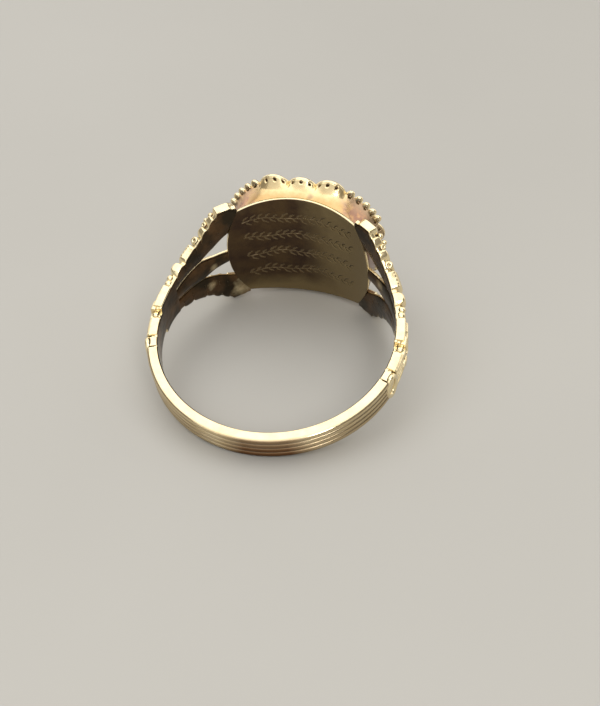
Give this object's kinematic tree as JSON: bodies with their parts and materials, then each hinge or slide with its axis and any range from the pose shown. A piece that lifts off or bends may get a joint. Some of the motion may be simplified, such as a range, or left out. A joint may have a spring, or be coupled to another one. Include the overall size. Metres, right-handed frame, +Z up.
{
  "type": "mourning ring",
  "caption": "Gold mourning ring lying on its side: reeded shank, pierced cast shoulders, closed cushion head with a scalloped border, woven hair under a bevelled crystal.",
  "frame": {"origin": "middle of the ring's outline on the surface it lies on, at the base", "axes": "+Z up from the surface, +Y towards the head, away from the back of the shank, X across the hoop"},
  "size_m": [0.02, 0.0218, 0.0124],
  "materials": {
    "gold": "polished and worn old yellow gold",
    "hair": "woven brown hair",
    "crystal": "polished clear crystal"
  },
  "bodies": {
    "root": {"gold_ring": "gold", "hair_panel": "hair", "crystal": "crystal"}
  },
  "joints": []
}
